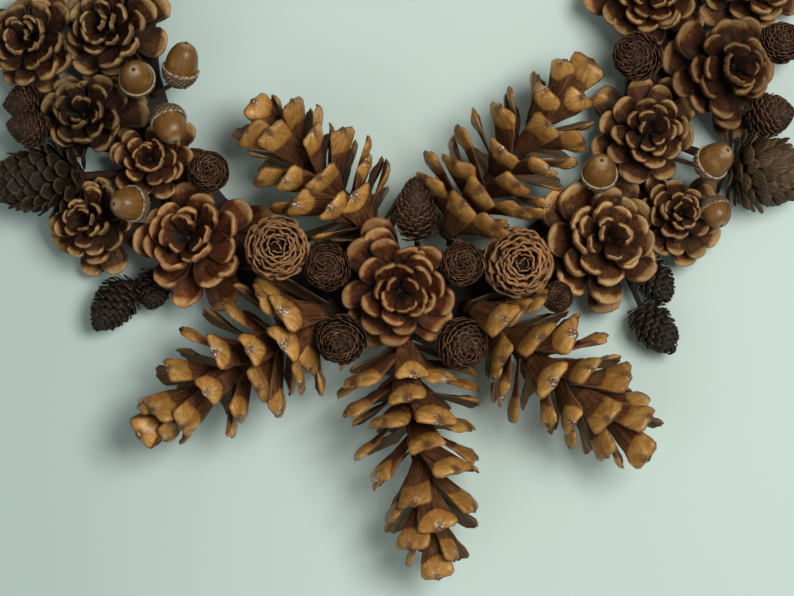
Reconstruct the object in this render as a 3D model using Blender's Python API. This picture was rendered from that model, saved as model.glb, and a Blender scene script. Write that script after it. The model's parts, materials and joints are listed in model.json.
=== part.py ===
"""A pine cone wreath, lying on its back with its cones facing up.

A flat plywood ring carries everything. Five long cones radiate like a star from its lowest point round one
open cone. Open cones, acorns, small dark cones, cone roses, ragged long cones and seed clusters fill the rest
of the ring. Each piece is one solid: a core with scales fused on it, and a stalk or wire down to the ring.
Units are metres, +Z is up, and the wreath's foot, where the star points, is towards -Y.
"""

import math
from collections import namedtuple

import bmesh
import bpy
from mathutils import Matrix, Vector
from mathutils.bvhtree import BVHTree

MM = 0.001

# The plywood ring, and where its centre lies from the middle of the whole wreath's outline
RING_CENTRE = Vector((0.0003, 0.0371, 0.0))
RING_INNER_RADIUS = 0.123
RING_OUTER_RADIUS = 0.158
RING_THICKNESS = 0.006
RING_SIDES = 32

# Room between pieces that touch, between a scale's corners and other pieces, and between the lowest scale and
# the surface the ring lies on
SEAT_GAP = 0.0003
CORNER_GAP = 0.00055
FLOOR_GAP = 0.0015

# A stalk ends on the ring this far inside its edges, and comes straight down for this height
FOOT_EDGE = 0.0045
FOOT_DROP = 0.004
STALK_SIDES = 4
STALK_INSIDE = 0.005

# Turn from one scale to the next round a cone
GOLDEN_ANGLE = math.radians(137.508)

# Turn of the first scale from one piece to the next, so that no two cones stand alike
TURN_STEP = math.radians(47)

# Turned bodies, as (share of the radius, share of the length): a cone's core under its scales, and an acorn
CORE_SIDES = 5
OPEN_CORE = [(0.22, 0), (0.40, 0.3), (0.26, 0.68), (0.08, 0.95)]
STAR_CORE = [(0.15, 0), (0.21, 0.2), (0.08, 0.96)]
ACORN_SIDES = 7
ACORN_PROFILE = [(0.45, 0), (1.0, 0.2), (1.0, 0.38), (0.86, 0.41), (0.84, 0.66), (0.52, 0.9), (0.12, 1.0)]

# Small cones with scales raised from the surface: how many rows, points in two rows, and how far they rise
Relief = namedtuple("Relief", "rows sides bump")
DARK_RELIEF = Relief(rows=5, sides=8, bump=0.12)
LONG_RELIEF = Relief(rows=6, sides=10, bump=0.16)
SEED_RELIEF = Relief(rows=4, sides=8, bump=0.14)
RELIEF_BASE = 0.35
RELIEF_TIP = 0.15

# A scale's outline, as shares of its reach and width: where it is widest, its root, and its blunt end
SCALE_WIDEST = 0.76
SCALE_ROOT = 0.06
SCALE_ROOT_WIDTH = 0.12
TWO_TIPS_AT = 0.97
TWO_TIPS_OUT = 0.26

# A scale that would cross another piece is tried shorter and bent up: share of its length, extra lift
FITS = ((1.0, 0), (1.0, 12), (0.86, 0), (0.86, 14), (0.72, 6), (0.72, 20), (0.58, 10))
STEEPEST_LIFT = 85

# Edges sharper than this many degrees are shown as edges
SHARP_ANGLE = 25

# How an open cone's scales change from the base to the apex. Lengths and widths are shares of its radius.
Scales = namedtuple("Scales", "count first last reach_low reach_high lift_low lift_high lift_curve "
                              "width_low width_high rim hook tips")
OPEN_SCALES = Scales(count=12, first=0.10, last=0.62, reach_low=1.05, reach_high=0.64,
                     lift_low=0, lift_high=76, lift_curve=1.8,
                     width_low=0.88, width_high=0.44, rim=0.12, hook=0.08, tips=1)
STAR_SCALES = Scales(count=24, first=0.03, last=0.80, reach_low=1.0, reach_high=0.62,
                     lift_low=16, lift_high=62, lift_curve=1.0,
                     width_low=0.48, width_high=0.38, rim=0.14, hook=0.10, tips=2)

Piece = namedtuple("Piece", "name kind base tip radius foot", defaults=(None,))

# Pieces in millimetres from the ring's centre: where the axis starts and ends, and the widest radius.
# The first ones keep their whole shape, and the later ones give way to them.
FRONT_PIECES = [
    Piece("centre_cone", "open", (2.5, -132, 46), (2.5, -138.5, 84), 27),
    Piece("cone_left_front", "open", (-99, -112, 13), (-109, -105, 54), 30),
    Piece("cone_right_front", "open", (101, -111.5, 13), (113, -106, 55), 32),
    Piece("star_bottom", "star", (4, -157, 43), (21.5, -277, 36), 41),
    Piece("star_low_left", "star", (-30, -142, 43), (-126, -204, 36), 41),
    Piece("star_low_right", "star", (36, -142, 43), (126, -213, 36), 41),
    Piece("star_up_left", "star", (-5, -112, 43), (-67, -47, 36), 39),
    Piece("star_up_right", "star", (25, -108, 43), (96, -24, 36), 39),
    Piece("cone_left_inner", "open", (-122.5, -70, 13), (-126, -67, 48), 22),
    Piece("cone_left_middle", "open", (-154.5, -49.5, 12), (-159.5, -43.5, 50), 27),
    Piece("cone_left_upper", "open", (-141, -5, 12), (-153.5, 0, 50), 27),
    Piece("cone_left_edge", "open", (-183, -10, 14), (-191, -7, 44), 24),
    Piece("cone_left_outer", "open", (-150, -100, 12), (-161, -98, 46), 24),
    Piece("cone_right_inner", "open", (126.5, -55, 12), (130, -54, 51), 27),
    Piece("cone_right_middle", "open", (165, -23.5, 13), (176, -21, 53), 30),
    Piece("cone_right_upper", "open", (130, 14, 12), (128, 18, 50), 27),
    Piece("cone_right_edge", "open", (181, 21, 12), (188, 25, 44), 25),
    Piece("cone_right_outer", "open", (142, -97, 12), (146, -94, 45), 22),
]
SMALL_PIECES = [
    Piece("rose_left", "rose", (-59, -113.5, 44), (-58, -113.5, 64), 15.5),
    Piece("rose_right", "rose", (60, -121, 44), (63, -121, 65), 17),
    Piece("dark_left_high", "dark", (-31, -123.5, 46), (-37, -123, 66), 11.5),
    Piece("dark_left_low", "dark", (-24, -156, 49), (-31, -163, 67), 12.5),
    Piece("dark_right_low", "dark", (30.5, -158, 49), (37, -166, 68), 13),
    Piece("dark_right_high", "dark", (33, -121.5, 50), (33.5, -121.5, 68), 10.8),
    Piece("dark_top", "dark", (11, -110.5, 56), (9.5, -80, 61), 10.5),
    Piece("dark_right_tiny", "dark", (81, -137, 34), (82, -139, 50), 8),
    Piece("dark_left_side", "dark", (-94.5, -75.5, 24), (-93.5, -74, 44), 10.5),
    Piece("dark_right_side", "dark", (127, -18, 20), (116, -14.5, 44), 12.5),
    Piece("dark_edge_left_high", "dark", (-180, -38, 14), (-198, -40, 14), 10),
    Piece("dark_edge_left_low", "dark", (-175, -54.5, 29), (-195, -51, 30), 9.5, (-139, -65)),
    Piece("dark_edge_right_high", "dark", (192, -12, 14), (200, -5, 34), 10.5),
    Piece("dark_edge_right_low", "dark", (180, -47, 18), (201, -44, 24), 11.5),
    Piece("long_dark_left", "long", (-156, -77, 27), (-203.5, -80, 21), 17, (-134, -74.5)),
    Piece("long_dark_right", "long", (168, -71, 22), (206.3, -77, 21), 18),
    Piece("acorn_left_face", "acorn", (-129.5, -30.5, 26), (-130.5, -24.5, 48), 9.5),
    Piece("acorn_left_up", "acorn", (-110, -31, 30), (-104.5, -11, 43), 9.5),
    Piece("acorn_left_down", "acorn", (-116, -43, 33), (-110, -60, 44), 9.5),
    Piece("acorn_left_outer", "acorn", (-127, -91, 34), (-140, -91.7, 50), 9.5),
    Piece("acorn_right_outer", "acorn", (154.5, -74, 37), (165.5, -65, 54), 9.5),
    Piece("acorn_right_inner", "acorn", (102, -80, 34), (103, -70, 52), 9.5),
    Piece("acorn_right_low", "acorn", (160, -89, 26), (164.5, -102, 34), 8.5),
]

# A cluster's base is where its twig forks, and its two seed cones have their own axis and radius
CLUSTERS = [
    Piece("seeds_left", "seeds", (-117.5, -120, 12), (-152, -153, 14), 11.5, (-113, -104)),
    Piece("seeds_right", "seeds", (113.5, -117, 12), (141, -165, 14), 11, (109, -107)),
]
SeedCone = namedtuple("SeedCone", "base tip radius")
SEED_CONES = {
    "seeds_left": [SeedCone((-134, -130, 14), (-152, -153, 14), 11.5),
                   SeedCone((-121, -124, 14), (-125, -143, 13), 9.5)],
    "seeds_right": [SeedCone((124, -142, 14), (141, -165, 14), 11),
                    SeedCone((126, -120, 14), (139, -139, 14), 10)],
}

# The half of the ring above the middle holds two rows of cones and, between the outer ones, smaller pieces.
# Each row has, per kind: where its axis starts and ends, as turn from the row's angle in degrees, distance
# from the ring's centre and height in millimetres, and its widest radius.
Spot = namedtuple("Spot", "title base tip radius")
UPPER_INNER_ANGLES = (28, 54, 80, 106, 132, 158)
UPPER_INNER_ROW = [(angle, "open") for angle in UPPER_INNER_ANGLES]
UPPER_INNER_SPOTS = {"open": Spot("cone_upper_inner", (0, 145, 13), (1, 142, 57), 33)}
UPPER_OUTER_ROW = [(25, "open"), (47, "open"), (71, "long"), (93, "open"), (123, "long"), (153, "open")]
UPPER_OUTER_SPOTS = {"open": Spot("cone_upper_outer", (0, 175, 13), (0, 185, 50), 27),
                     "long": Spot("long_dark_upper", (-5, 172, 24), (9, 186, 24), 16)}
UPPER_BETWEEN_ROW = [(59, "acorn"), (108, "dark"), (138, "acorn"), (168, "dark")]
UPPER_BETWEEN_SPOTS = {"acorn": Spot("acorn_upper", (0, 180, 30), (0, 186, 52), 9.5),
                       "dark": Spot("dark_upper", (0, 180, 30), (0, 186, 54), 12)}

# How far a twig runs into its seed cone
TWIG_INTO_SEED = 0.003

Kind = namedtuple("Kind", "colour roughness stalk_radius")
KINDS = {
    "open": Kind((0.21, 0.09, 0.04), 0.6, 0.0026),
    "star": Kind((0.27, 0.12, 0.04), 0.45, 0.0026),
    "rose": Kind((0.45, 0.27, 0.13), 0.7, 0.0015),
    "dark": Kind((0.05, 0.03, 0.02), 0.7, 0.0013),
    "long": Kind((0.05, 0.035, 0.022), 0.75, 0.0022),
    "acorn": Kind((0.33, 0.15, 0.04), 0.3, 0.0010),
    "seeds": Kind((0.025, 0.017, 0.014), 0.75, 0.0015),
    "ring": Kind((0.07, 0.045, 0.03), 0.8, 0.0),
}


def point(place):
    """A place given in millimetres from the ring's centre, in metres."""
    return Vector(place) * MM


def blend(low, high, share):
    return low + (high - low) * share


def skin(rings, waved=False):
    """Closed shape over rings of points, flat at both ends. Waved sides are split into triangles."""
    sides = len(rings[0])
    faces = [tuple(range(sides))[::-1], tuple(range((len(rings) - 1) * sides, len(rings) * sides))]
    for low in range(0, (len(rings) - 1) * sides, sides):
        for step in range(sides):
            near, far = low + step, low + (step + 1) % sides
            if waved:
                faces += [(near, far, far + sides), (near, far + sides, near + sides)]
            else:
                faces.append((near, far, far + sides, near + sides))
    return [p for ring in rings for p in ring], faces


def ring_of(radius, height, sides, wave=0.0, turned=0):
    """Points round the Z axis, every second one further out and the others further in."""
    points = []
    for step in range(sides):
        angle = math.tau * step / sides
        reach = radius * (1 + wave * (1 - 2 * ((step + turned) % 2)))
        points.append(Vector((reach * math.cos(angle), reach * math.sin(angle), height)))
    return points


def turned_shape(profile, sides, length, radius):
    """Round body from (radius, height) shares."""
    return skin([ring_of(r * radius, h * length, sides) for r, h in profile])


def tube(path, radius, sides):
    """Round bar along a path, its ends square to it."""
    runs = [(end - start).normalized() for start, end in zip(path, path[1:])]
    rings = []
    across = None
    for here, before, after in zip(path, runs[:1] + runs, runs + runs[-1:]):
        along = (before + after).normalized()
        across = along.orthogonal() if across is None else across - along * across.dot(along)
        across.normalize()
        up = along.cross(across)
        angles = [math.tau * step / sides for step in range(sides)]
        rings.append([here + radius * (across * math.cos(a) + up * math.sin(a)) for a in angles])
    return skin(rings, waved=True)


def moved(shape, frame):
    points, faces = shape
    return [frame @ p for p in points], faces


def scale_shape(reach, width, spec):
    """A woody scale that points along +X: narrow at the root, wide at a thick, upturned rim."""
    side = (SCALE_WIDEST * reach, 0.5 * width)
    root = (SCALE_ROOT * reach, SCALE_ROOT_WIDTH * width)
    tips = [(reach, 0.0)]
    if spec.tips == 2:
        tips = [(TWO_TIPS_AT * reach, -TWO_TIPS_OUT * width), (TWO_TIPS_AT * reach, TWO_TIPS_OUT * width)]
    outline = [(root[0], -root[1]), (side[0], -side[1]), *tips, side, root]
    half = Vector((0, 0, 0.5 * spec.rim * reach))
    middle = [Vector((x, y, spec.hook * reach * (x / reach) ** 2)) for x, y in outline]
    count = len(outline)
    upper = [(0, 1, count - 2, count - 1), tuple(range(1, count - 1))]
    faces = [tuple(i + count for i in face) for face in upper] + [face[::-1] for face in upper]
    for low in range(count):
        after = (low + 1) % count
        faces.append((low, after, after + count, low + count))
    return [p - half for p in middle] + [p + half for p in middle], faces


def scale_places(spec, length, radius):
    """Height on the axis, turn round it, lift, reach and width of each scale, from the base to the apex."""
    for number in range(spec.count):
        share = number / (spec.count - 1)
        yield (blend(spec.first, spec.last, share) * length,
               number * GOLDEN_ANGLE,
               blend(spec.lift_low, spec.lift_high, share ** spec.lift_curve),
               blend(spec.reach_low, spec.reach_high, share) * radius,
               blend(spec.width_low, spec.width_high, share) * radius)


def relief_cone(relief, length, radius):
    """An egg-shaped cone raised into staggered points, one for each scale."""
    rings = [ring_of(RELIEF_BASE * radius, 0, relief.sides)]
    for row in range(relief.rows):
        share = (row + 0.6) / relief.rows
        girth = radius / (1 + relief.bump) * math.sin(math.pi * share ** 0.8) ** 0.55
        rings.append(ring_of(girth, share * length, relief.sides, relief.bump, row))
    rings.append(ring_of(RELIEF_TIP * radius, length, relief.sides))
    return skin(rings, waved=True)


def rose_shape(length, radius):
    """Nested rings of wavy-edged scales round a bud. Sizes but the counts are shares of radius or length."""
    layers = 4
    sides = 10
    wave = 0.07
    base_radius = 0.8
    valley_inward = 0.13
    valley_depth = 0.16
    bud_radius = 0.08
    bud_height = 0.9
    rings = [ring_of(base_radius * radius, 0, sides)]
    for layer in range(layers):
        share = layer / layers
        rim = blend(1 / (1 + wave), 0.12, share)
        height = blend(0.5, 0.98, share)
        rings.append(ring_of(rim * radius, height * length, sides, wave, layer))
        valley = (height - valley_depth) * length
        rings.append(ring_of((rim - valley_inward) * radius, valley, sides, 0.5 * wave, layer))
    rings.append(ring_of(bud_radius * radius, bud_height * length, sides))
    return skin(rings, waved=True)


def acorn_shape(length, radius):
    """A nut in its cup: the cup's rim stands out round the nut."""
    return turned_shape(ACORN_PROFILE, ACORN_SIDES, length, radius)


def trunk_shape(kind, length, radius):
    """What the scales stand on, or the whole body where they are part of its surface."""
    if kind == "open":
        return turned_shape(OPEN_CORE, CORE_SIDES, length, radius)
    if kind == "star":
        return turned_shape(STAR_CORE, CORE_SIDES, length, radius)
    if kind == "rose":
        return rose_shape(length, radius)
    if kind == "acorn":
        return acorn_shape(length, radius)
    return relief_cone(LONG_RELIEF if kind == "long" else DARK_RELIEF, length, radius)


def axis_frame(base, tip):
    """Frame whose +Z runs from the base to the tip."""
    along = tip - base
    return Matrix.Translation(base) @ along.to_track_quat("Z", "X").to_matrix().to_4x4(), along.length


def foot_under(base):
    """The place on the ring that lies nearest to a piece's base."""
    flat = Vector((base.x, base.y))
    radius = min(max(flat.length, RING_INNER_RADIUS + FOOT_EDGE), RING_OUTER_RADIUS - FOOT_EDGE)
    return flat.normalized() * radius


def stalk_path(start, foot):
    """From inside a piece to just above the ring, ending straight down."""
    return [start,
            Vector((foot.x, foot.y, RING_THICKNESS + FOOT_DROP)),
            Vector((foot.x, foot.y, RING_THICKNESS + SEAT_GAP))]


def grown(shape, room):
    """The same shape with each point moved out by the room."""
    points, faces = shape
    outward = [Vector((0, 0, 0)) for _ in points]
    for face in faces:
        a, b, c = (points[i] for i in face[:3])
        for i in face:
            outward[i] += (b - a).cross(c - a)
    return [p + n.normalized() * room for p, n in zip(points, outward)], faces


def tree_of(shape):
    return BVHTree.FromPolygons(*shape)


def is_clear(shape, trees):
    """Whether a scale keeps its distance from other pieces and from the surface below."""
    points, faces = grown(shape, CORNER_GAP)
    if min(p.z for p in points) < FLOOR_GAP:
        return False
    tree = tree_of((points, faces))
    return not any(tree.overlap(other) for other in trees)


def fitted_scales(piece, spec, first_turn, trees):
    """The piece's scales, each as long as its neighbours let it be."""
    frame, length = axis_frame(point(piece.base), point(piece.tip))
    for height, turn, lift, reach, width in scale_places(spec, length, piece.radius * MM):
        for share, extra in FITS:
            shape = scale_shape(reach * share, width * blend(1, share, 0.5), spec)
            place = Matrix.Translation((0, 0, height)) @ Matrix.Rotation(first_turn + turn, 4, "Z")
            place @= Matrix.Rotation(-math.radians(min(lift + extra, STEEPEST_LIFT)), 4, "Y")
            shape = moved(shape, frame @ place)
            if is_clear(shape, trees):
                yield shape
                break


def largest_body(mesh):
    """Leaves only the largest closed body, so no sealed hollow or loose scrap stays."""
    work = bmesh.new()
    work.from_mesh(mesh)
    bmesh.ops.dissolve_degenerate(work, edges=work.edges, dist=1e-7)
    bmesh.ops.triangulate(work, faces=work.faces)
    left = set(work.faces)
    bodies = []
    while left:
        body = []
        front = [left.pop()]
        while front:
            face = front.pop()
            body.append(face)
            beside = {f for edge in face.edges for f in edge.link_faces if f in left}
            left -= beside
            front += beside
        bodies.append(body)
    bodies.sort(key=lambda faces: sum(f.verts[0].co.dot(f.verts[1].co.cross(f.verts[2].co)) for f in faces))
    for body in bodies[:-1]:
        bmesh.ops.delete(work, geom=body, context="FACES")
    work.to_mesh(mesh)
    work.free()


def mesh_object(name, shape, collection):
    points, faces = shape
    mesh = bpy.data.meshes.new(name)
    mesh.from_pydata(points, [], faces)
    made = bpy.data.objects.new(name, mesh)
    collection.objects.link(made)
    return made


def fused(name, shapes):
    """One object out of shapes that overlap."""
    made = mesh_object(name, shapes[0], bpy.context.scene.collection)
    if len(shapes) > 1:
        others = bpy.data.collections.new(name + "_parts")
        bpy.context.scene.collection.children.link(others)
        for shape in shapes[1:]:
            mesh_object(name + "_part", shape, others)
        join = made.modifiers.new("Join", "BOOLEAN")
        join.operation = "UNION"
        join.operand_type = "COLLECTION"
        join.collection = others
        bpy.context.view_layer.objects.active = made
        bpy.ops.object.modifier_apply(modifier=join.name)
        for part in list(others.objects):
            bpy.data.meshes.remove(part.data)
        bpy.data.collections.remove(others)
    largest_body(made.data)
    return made


def finish(made, material, frame, parent):
    """Gives the object its material, its own axis frame and its place on the wreath."""
    made.data.materials.clear()
    made.data.materials.append(material)
    made.data.transform(frame.inverted())
    made.data.shade_smooth()
    made.data.set_sharp_from_angle(angle=math.radians(SHARP_ANGLE))
    made.parent = parent
    made.matrix_local = frame


def ring_shape():
    """The flat plywood ring."""
    work = bmesh.new()
    corners = [(RING_INNER_RADIUS, 0), (RING_OUTER_RADIUS, 0), (RING_OUTER_RADIUS, RING_THICKNESS),
               (RING_INNER_RADIUS, RING_THICKNESS)]
    section = [work.verts.new((r, 0, z)) for r, z in corners]
    edges = [work.edges.new((section[i], section[(i + 1) % 4])) for i in range(4)]
    bmesh.ops.spin(work, geom=section + edges, axis=(0, 0, 1), cent=(0, 0, 0), angle=math.tau,
                   steps=RING_SIDES, use_merge=True)
    bmesh.ops.triangulate(work, faces=work.faces)
    bmesh.ops.recalc_face_normals(work, faces=work.faces)
    work.verts.index_update()
    shape = [v.co.copy() for v in work.verts], [tuple(v.index for v in f.verts) for f in work.faces]
    work.free()
    return shape


def on_ring(angle, place):
    """A place in millimetres from its turn, distance and height, seen from an angle round the ring."""
    turn = math.radians(angle + place[0])
    return (place[1] * math.cos(turn), place[1] * math.sin(turn), place[2])


def upper_pieces():
    """The pieces of the ring's upper half, placed round it by rule."""
    for row, spots in ((UPPER_INNER_ROW, UPPER_INNER_SPOTS), (UPPER_OUTER_ROW, UPPER_OUTER_SPOTS),
                       (UPPER_BETWEEN_ROW, UPPER_BETWEEN_SPOTS)):
        for number, (angle, kind) in enumerate(row, 1):
            title, base, tip, radius = spots[kind]
            yield Piece(f"{title}_{number}", kind, on_ring(angle, base), on_ring(angle, tip), radius)


def cluster_shapes(piece):
    """A forked twig with a small seed cone on each end."""
    fork = point(piece.base)
    path = stalk_path(fork, foot_of(piece))[::-1]
    shapes = []
    for seed in SEED_CONES[piece.name]:
        frame, length = axis_frame(point(seed.base), point(seed.tip))
        shapes.append(tube(path + [frame @ Vector((0, 0, TWIG_INTO_SEED))], KINDS[piece.kind].stalk_radius,
                           STALK_SIDES))
        shapes.append(moved(relief_cone(SEED_RELIEF, length, seed.radius * MM), frame))
        path = [fork - (fork - path[-2]).normalized() * KINDS[piece.kind].stalk_radius, fork]
    return shapes


def foot_of(piece):
    return Vector(piece.foot) * MM if piece.foot else foot_under(point(piece.base))


def trunk_shapes(piece):
    """The parts of a piece that never give way: its core or body, and its stalk."""
    if piece.kind == "seeds":
        return cluster_shapes(piece)
    frame, length = axis_frame(point(piece.base), point(piece.tip))
    core = moved(trunk_shape(piece.kind, length, piece.radius * MM), frame)
    start = frame @ Vector((0, 0, STALK_INSIDE))
    return [core, tube(stalk_path(start, foot_of(piece)), KINDS[piece.kind].stalk_radius, STALK_SIDES)]


def joined(shapes):
    """Several shapes' points and faces in one list each, for a search tree."""
    points, faces = [], []
    for more_points, more_faces in shapes:
        faces += [tuple(i + len(points) for i in face) for face in more_faces]
        points += more_points
    return points, faces


def build():
    for old in list(bpy.data.objects):
        bpy.data.objects.remove(old)
    materials = {}
    for name, kind in KINDS.items():
        material = materials[name] = bpy.data.materials.new("wreath_" + name)
        material.use_nodes = True
        shader = material.node_tree.nodes["Principled BSDF"]
        shader.inputs["Base Color"].default_value = (*kind.colour, 1.0)
        shader.inputs["Roughness"].default_value = kind.roughness
        shader.inputs["Metallic"].default_value = 0.0
    wreath = bpy.data.objects.new("wreath", None)
    wreath.location = RING_CENTRE
    bpy.context.scene.collection.objects.link(wreath)
    finish(mesh_object("base_ring", ring_shape(), bpy.context.scene.collection), materials["ring"],
           Matrix.Identity(4), wreath)
    pieces = FRONT_PIECES + list(upper_pieces()) + SMALL_PIECES + CLUSTERS
    trunks = {piece.name: trunk_shapes(piece) for piece in pieces}
    kept = {name: tree_of(joined(shapes)) for name, shapes in trunks.items()}
    kept["base_ring"] = tree_of(ring_shape())
    scales = {"open": OPEN_SCALES, "star": STAR_SCALES}
    for number, piece in enumerate(pieces):
        shapes = trunks[piece.name]
        if piece.kind in scales:
            others = [tree for name, tree in kept.items() if name != piece.name]
            shapes = shapes + list(fitted_scales(piece, scales[piece.kind], number * TURN_STEP, others))
        made = fused(piece.name, shapes)
        mesh = made.data
        body = [v.co for v in mesh.vertices], [tuple(p.vertices) for p in mesh.polygons]
        kept[piece.name] = tree_of(body)
        finish(made, materials[piece.kind], axis_frame(point(piece.base), point(piece.tip))[0], wreath)


build()
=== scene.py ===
"""A pine cone wreath lying on a pale surface, seen from straight above.

Scales follow each other round a cone's axis by the golden angle, and each one is as long as the
pieces beside it let it be. A node tree sets the scales on their places, and each cone becomes one
plain mesh.
"""

import json
import math
import random
from collections import namedtuple

import bmesh
import bpy
from mathutils import Matrix, Vector, noise
from mathutils.bvhtree import BVHTree

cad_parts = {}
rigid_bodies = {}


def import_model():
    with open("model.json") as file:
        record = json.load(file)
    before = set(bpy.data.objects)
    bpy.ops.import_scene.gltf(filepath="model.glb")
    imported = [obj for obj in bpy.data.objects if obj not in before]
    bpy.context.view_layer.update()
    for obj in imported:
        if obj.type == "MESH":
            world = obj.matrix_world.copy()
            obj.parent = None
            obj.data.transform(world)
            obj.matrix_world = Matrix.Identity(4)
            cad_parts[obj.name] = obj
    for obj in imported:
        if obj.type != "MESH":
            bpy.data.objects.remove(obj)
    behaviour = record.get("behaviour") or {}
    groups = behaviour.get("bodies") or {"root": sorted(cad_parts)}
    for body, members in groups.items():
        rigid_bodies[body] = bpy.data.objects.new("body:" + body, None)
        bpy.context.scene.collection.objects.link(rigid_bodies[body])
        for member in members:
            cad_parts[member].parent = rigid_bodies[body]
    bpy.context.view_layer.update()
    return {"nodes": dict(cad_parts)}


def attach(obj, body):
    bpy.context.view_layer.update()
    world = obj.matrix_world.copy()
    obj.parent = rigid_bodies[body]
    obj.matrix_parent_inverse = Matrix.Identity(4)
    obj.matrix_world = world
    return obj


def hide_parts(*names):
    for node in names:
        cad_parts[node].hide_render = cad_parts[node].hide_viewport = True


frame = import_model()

MM = .001
RING_CENTRE = Vector((.0003, .0371, 0.0))
RING_THICKNESS = .006
RING_INNER_RADIUS = .123
RING_OUTER_RADIUS = .158
# How near the board's edge a stalk may stand, how high it rises straight, and how long it may be unbent
FOOT_EDGE = .0045
STALK_RISE = .006
SHORT_STALK = .014
GOLDEN_ANGLE = math.radians(137.508)
# Room left under a scale, so that its bent edge stays above the floor
FLOOR_GAP = .0044
FLOOR_LEVEL = -.0002
FLOOR_HALF_WIDTH = 6.0

# The picture is this wide at this height, and its middle lies here from the ring's centre
VIEW_WIDTH = .397
VIEW_HEIGHT = .045
VIEW_MIDDLE = Vector((.001, -.1385, 0.0))
CAMERA_DISTANCE = 1.6
SENSOR_WIDTH = 36.0

# Lamps: name, place from the middle of the view, size, power and colour
LAMPS = (("key_light", (.6, .3, 1.5), .7, 21.5, (1.0, .985, .955)),
         ("fill_light", (-.7, -.7, 1.3), 1.2, 4.0, (.97, .99, 1.0)))
ROOM_COLOUR = (.94, .97, .93, 1.0)
ROOM_STRENGTH = .2


def placed_object(name, data):
    """A new object in the scene."""
    made = bpy.data.objects.new(name, data)
    bpy.context.scene.collection.objects.link(made)
    return made


def raised(height):
    return Vector((0, 0, height))


def point(place):
    """A place given in millimetres from the ring's centre, in metres on the wreath."""
    return RING_CENTRE + Vector(place) * MM


def blend(low, high, share):
    return low + (high - low) * share


def smooth(low, high, x):
    share = min(max((x - low) / (high - low), 0.0), 1.0)
    return share * share * (3 - 2 * share)


# Node trees

class Wire:
    """The output of a node, which can be used in sums like a number."""

    def __init__(self, graph, socket):
        self.graph = graph
        self.socket = socket

    def __add__(self, other):
        return self.graph.math("ADD", self, other)

    __radd__ = __add__

    def __sub__(self, other):
        return self.graph.math("SUBTRACT", self, other)

    def __rsub__(self, other):
        return self.graph.math("SUBTRACT", other, self)

    def __mul__(self, other):
        return self.graph.math("MULTIPLY", self, other)

    __rmul__ = __mul__

    def __gt__(self, other):
        return self.graph.math("GREATER_THAN", self, other)


class Graph:
    """A node tree and the ways to add to it."""

    def __init__(self, tree):
        self.tree = tree
        tree.nodes.clear()

    def node(self, kind, settings=None, sockets=None, out=0):
        """A node of a kind, with its settings and the values or wires of its sockets."""
        made = self.tree.nodes.new(kind)
        for name, value in (settings or {}).items():
            setattr(made, name, value)
        for name, value in (sockets or {}).items():
            if isinstance(value, (Wire, list)):
                for wire in value if isinstance(value, list) else [value]:
                    self.tree.links.new(wire.socket, made.inputs[name])
            elif made.inputs[name].type == "RGBA" and len(value) == 3:
                made.inputs[name].default_value = (*value, 1.0)
            else:
                made.inputs[name].default_value = value
        return Wire(self, made.outputs[out]) if len(made.outputs) else None

    def math(self, operation, a, b=0.0):
        return self.node("ShaderNodeMath", {"operation": operation}, {0: a, 1: b})

    def step(self, value, low, high):
        """0 below the low value, 1 above the high one, and smooth between them."""
        return self.node("ShaderNodeMapRange", {"interpolation_type": "SMOOTHSTEP"},
                         {"Value": value, "From Min": low, "From Max": high})

    def mix(self, share, a, b, kind="MIX"):
        settings = {"data_type": "RGBA", "blend_type": kind}
        return self.node("ShaderNodeMix", settings, {0: share, 6: a, 7: b}, 2)

    def times(self, a, b):
        """One colour multiplied by another."""
        return self.mix(1.0, a, b, "MULTIPLY")

    def scaled(self, vector, by):
        return self.node("ShaderNodeVectorMath", {"operation": "MULTIPLY"}, {0: vector, 1: by})

    def vector(self, x=0.0, y=0.0, z=0.0):
        return self.node("ShaderNodeCombineXYZ", {}, {0: x, 1: y, 2: z})

    def part(self, vector, axis):
        return self.node("ShaderNodeSeparateXYZ", {}, {0: vector}, axis)

    def own_place(self):
        return self.node("ShaderNodeTexCoord", {}, {}, "Object")

    def outline_map(self):
        return self.node("ShaderNodeUVMap", {"uv_map": "UVMap"})

    def noise(self, vector, scale, detail=3.0, roughness=.55, distortion=0.0):
        sockets = {"Vector": vector, "Scale": scale, "Detail": detail, "Roughness": roughness,
                   "Distortion": distortion}
        return self.node("ShaderNodeTexNoise", {}, sockets)

    def attribute(self, name):
        return self.node("ShaderNodeAttribute", {"attribute_name": name}, {}, "Fac")

    def layered(self, colour, *layers):
        """Coats over a colour, from the lowest up, each one with its share and its own colour."""
        for share, coat in layers:
            colour = self.mix(share, colour, coat)
        return colour

    def with_painted_deep_shade(self, colour):
        """Painted shade: darker on the pieces that lie deep in the wreath, where little light reaches."""
        return self.times(colour, self.mix(self.attribute("dark"), (1.0, 1.0, 1.0), (.46, .44, .42)))

    def grains(self, cloud_scale, fine_scale, cloud_detail=4.0, cloud_roughness=.55):
        """Cloudy and fine grain in the space of the piece."""
        place = self.own_place()
        return (self.noise(place, cloud_scale, cloud_detail, cloud_roughness),
                self.noise(place, fine_scale))


def new_material(name, paint):
    """A material whose surface is what the paint function makes of a graph."""
    material = bpy.data.materials.new(name)
    material.use_nodes = True
    graph = Graph(material.node_tree)
    sockets = paint(graph)
    shader = graph.node("ShaderNodeBsdfPrincipled", {}, sockets)
    graph.node("ShaderNodeOutputMaterial", {}, {"Surface": shader})
    return material


def bumped(graph, height, distance, strength=1.0):
    return graph.node("ShaderNodeBump", {}, {"Height": height, "Distance": distance, "Strength": strength})


def blade_inputs(graph):
    """Where a point lies on its scale: along it, across it, on which face, and how near the edge."""
    place = graph.outline_map()
    along, side = graph.part(place, 0), graph.part(place, 1)
    inner = side > 1.5
    across = side - inner * 2.0 - .5
    return along, across, inner, graph.attribute("edge"), graph.attribute("shade")


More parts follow.
